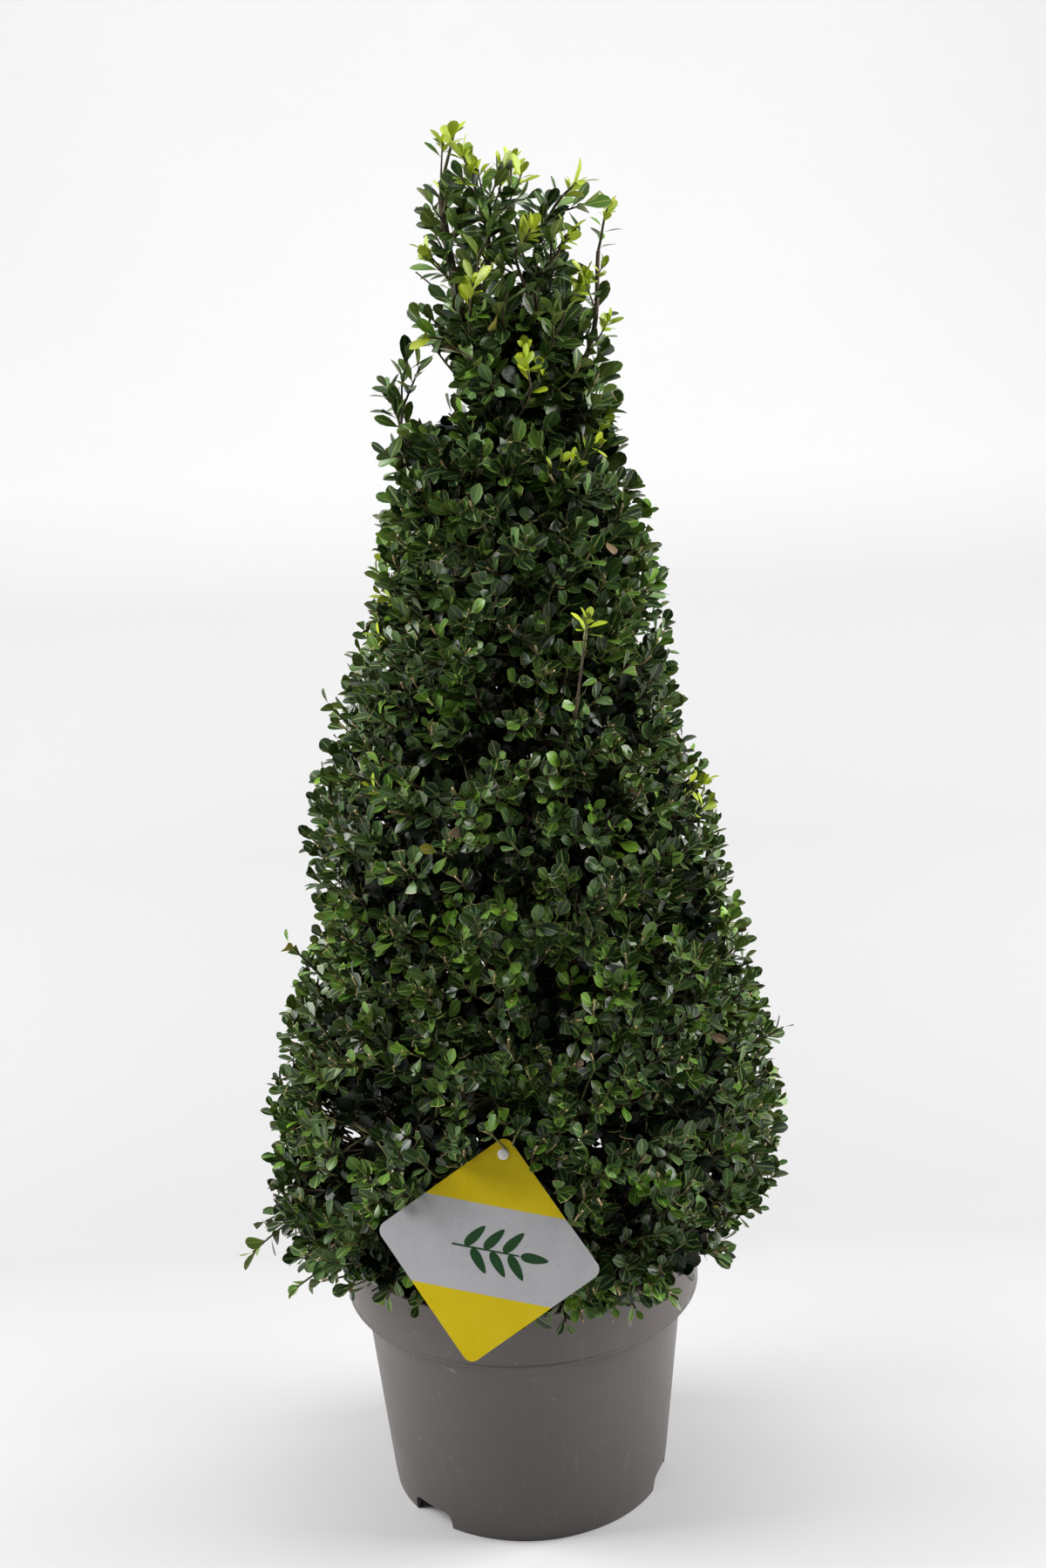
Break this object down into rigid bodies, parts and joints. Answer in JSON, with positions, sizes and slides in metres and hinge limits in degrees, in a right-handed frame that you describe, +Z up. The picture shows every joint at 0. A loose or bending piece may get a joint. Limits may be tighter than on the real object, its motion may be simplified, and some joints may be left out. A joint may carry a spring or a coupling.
{
  "type": "potted japanese holly clipped as a cone",
  "caption": "Evergreen Japanese holly clipped to a narrow cone with a loose top, on one trunk, standing in a round plastic nursery pot with a hanging label card.",
  "frame": {"origin": "the point of the ground on the pot's axis, under the middle of the whole plant", "axes": "+Z is up along the trunk, -Y faces the viewer and the label card, and +X is the viewer's right"},
  "size_m": [0.496, 0.4659, 1.2111],
  "materials": {
    "pot_plastic": "satin",
    "soil": "matte",
    "bark": "matte",
    "leaves": "satin",
    "label_plastic": "gloss",
    "pin_plastic": "satin"
  },
  "bodies": {
    "root": {"pot": "pot_plastic", "potting_soil": "soil", "trunk": "bark", "bough_left": "bark", "bough_far_right": "bark", "bough_front_right": "bark", "bough_right": "bark", "bough_centre": "bark", "foliage_skirt": "leaves", "foliage_lower": "leaves", "foliage_middle": "leaves", "foliage_upper": "leaves", "foliage_neck": "leaves", "foliage_left": "leaves", "foliage_far_right": "leaves", "foliage_front_right": "leaves", "foliage_right": "leaves", "foliage_centre": "leaves", "foliage_leader_side": "leaves", "foliage_leader": "leaves", "label_card": "label_plastic", "label_pin": "pin_plastic"}
  },
  "joints": []
}
